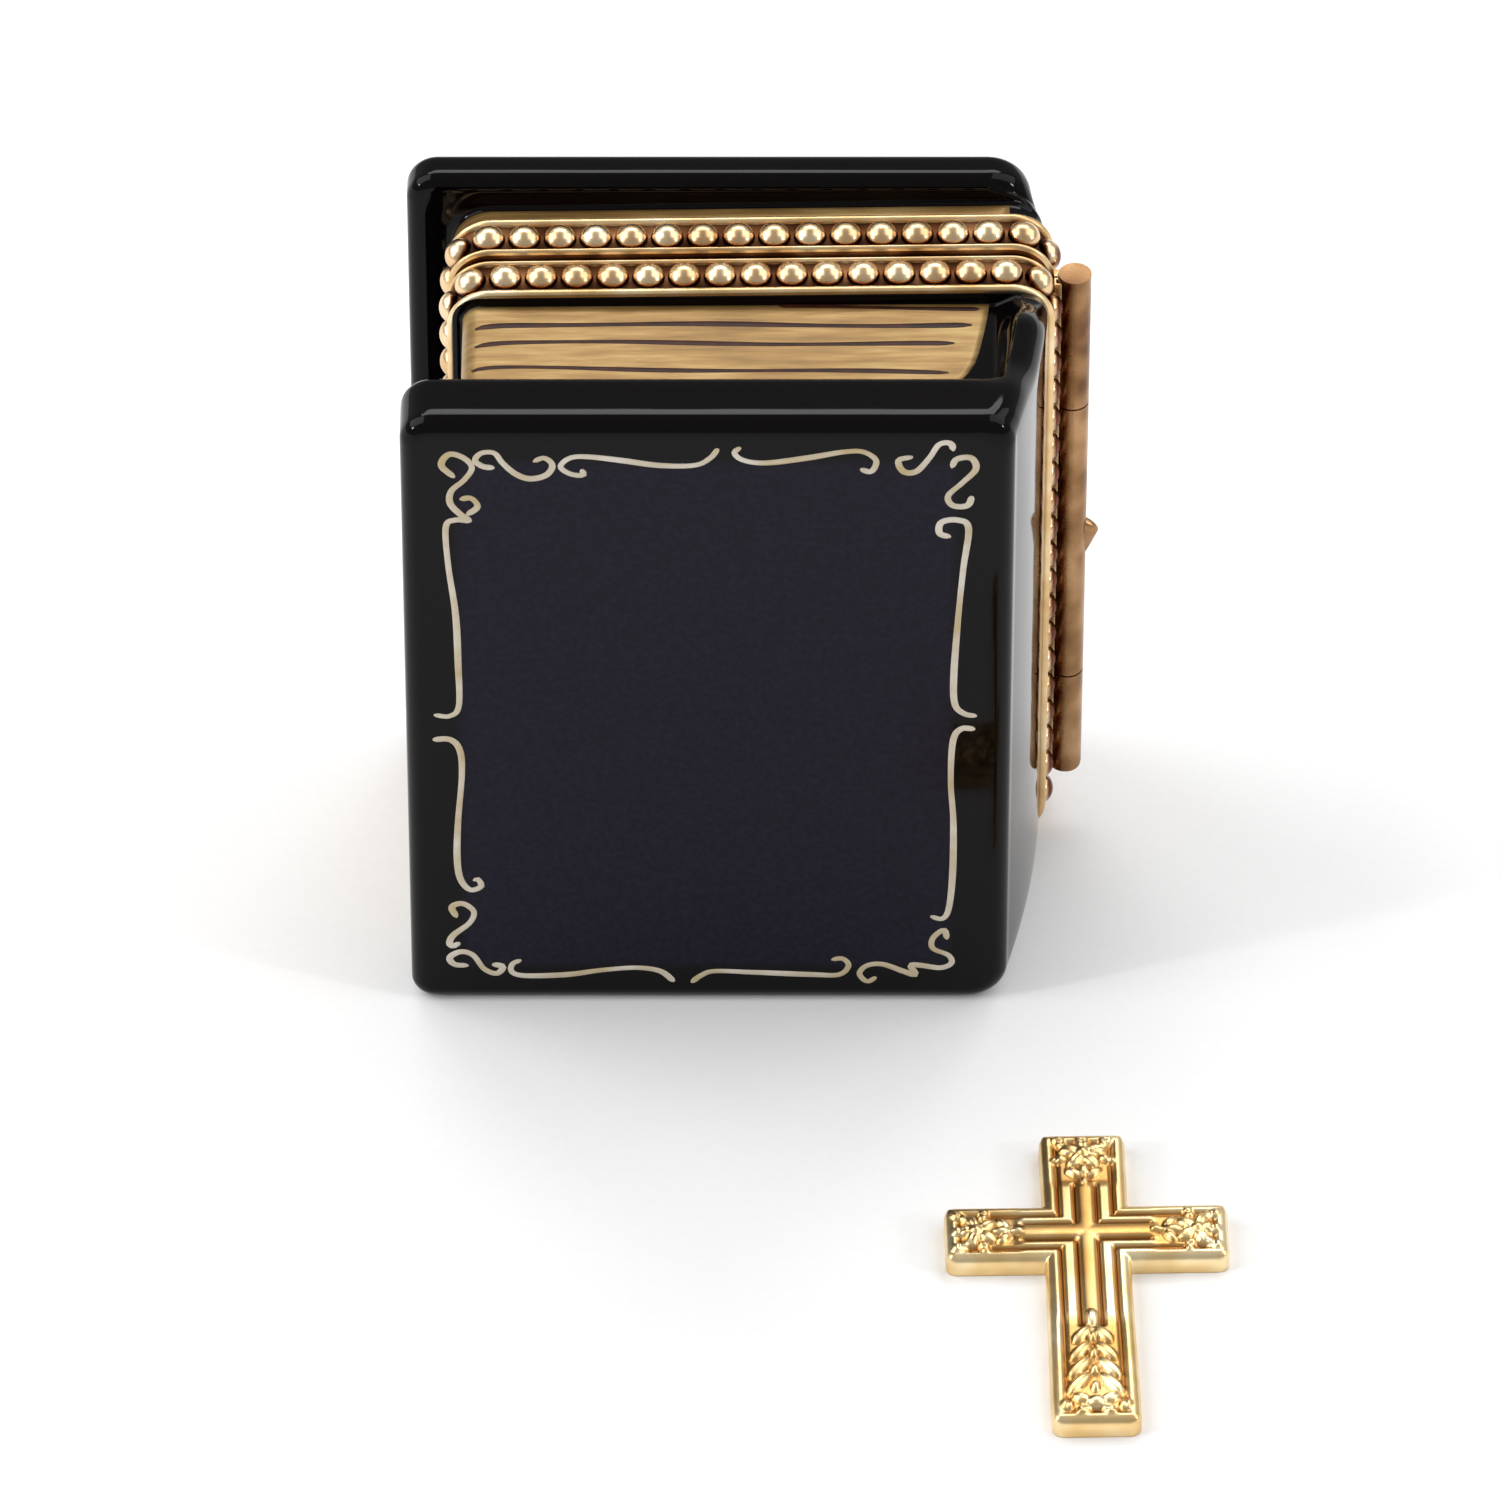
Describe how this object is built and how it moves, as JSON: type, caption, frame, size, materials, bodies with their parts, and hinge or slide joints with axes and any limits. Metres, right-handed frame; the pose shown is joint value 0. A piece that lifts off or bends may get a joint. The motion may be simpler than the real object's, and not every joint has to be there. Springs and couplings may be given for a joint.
{
  "type": "prayer book trinket box",
  "caption": "Small hinged black porcelain box made as an upright prayer book, with gilt beaded mounts, gilt page edges, a painted scroll border and a loose gilt cross.",
  "frame": {"origin": "on the table under the middle of the closed covers, on the front half's flat foot", "axes": "+X towards the spine, +Y towards the back cover, +Z towards the head of the book"},
  "size_m": [0.052, 0.0665, 0.0489],
  "materials": {
    "glazed_porcelain": "black glaze outside with gilt pages, white glaze inside",
    "gilt_brass": "polished, gilt",
    "hinge_brass": "drawn tube, gilt, warmer",
    "gilt_cross": "cast and gilt, bright"
  },
  "bodies": {
    "front_half": {"front_shell": "glazed_porcelain", "front_bezel": "gilt_brass", "front_beading": "gilt_brass", "inner_collar": "gilt_brass", "front_hinge_bearer": "gilt_brass", "upper_hinge_knuckle": "hinge_brass", "lower_hinge_knuckle": "hinge_brass", "hinge_pin": "hinge_brass", "clasp_stud": "gilt_brass"},
    "back_half": {"back_shell": "glazed_porcelain", "back_bezel": "gilt_brass", "back_beading": "gilt_brass", "back_hinge_bearer": "gilt_brass", "middle_hinge_knuckle": "hinge_brass", "hinge_stop_lug": "hinge_brass", "clasp_tongue": "gilt_brass"},
    "cross": {"cross": "gilt_cross"}
  },
  "joints": [
    {"name": "cover_hinge", "type": "hinge", "parent": "front_half", "child": "back_half", "pos_m": [0.0233, 0.00545, 0.0245], "axis": [0, 0, -1], "range_deg": [0, 108]},
    {"name": "cross_lift", "type": "slide", "parent": "front_half", "child": "cross", "axis": [0, 0, 1], "range_m": [0, 0.06]}
  ]
}
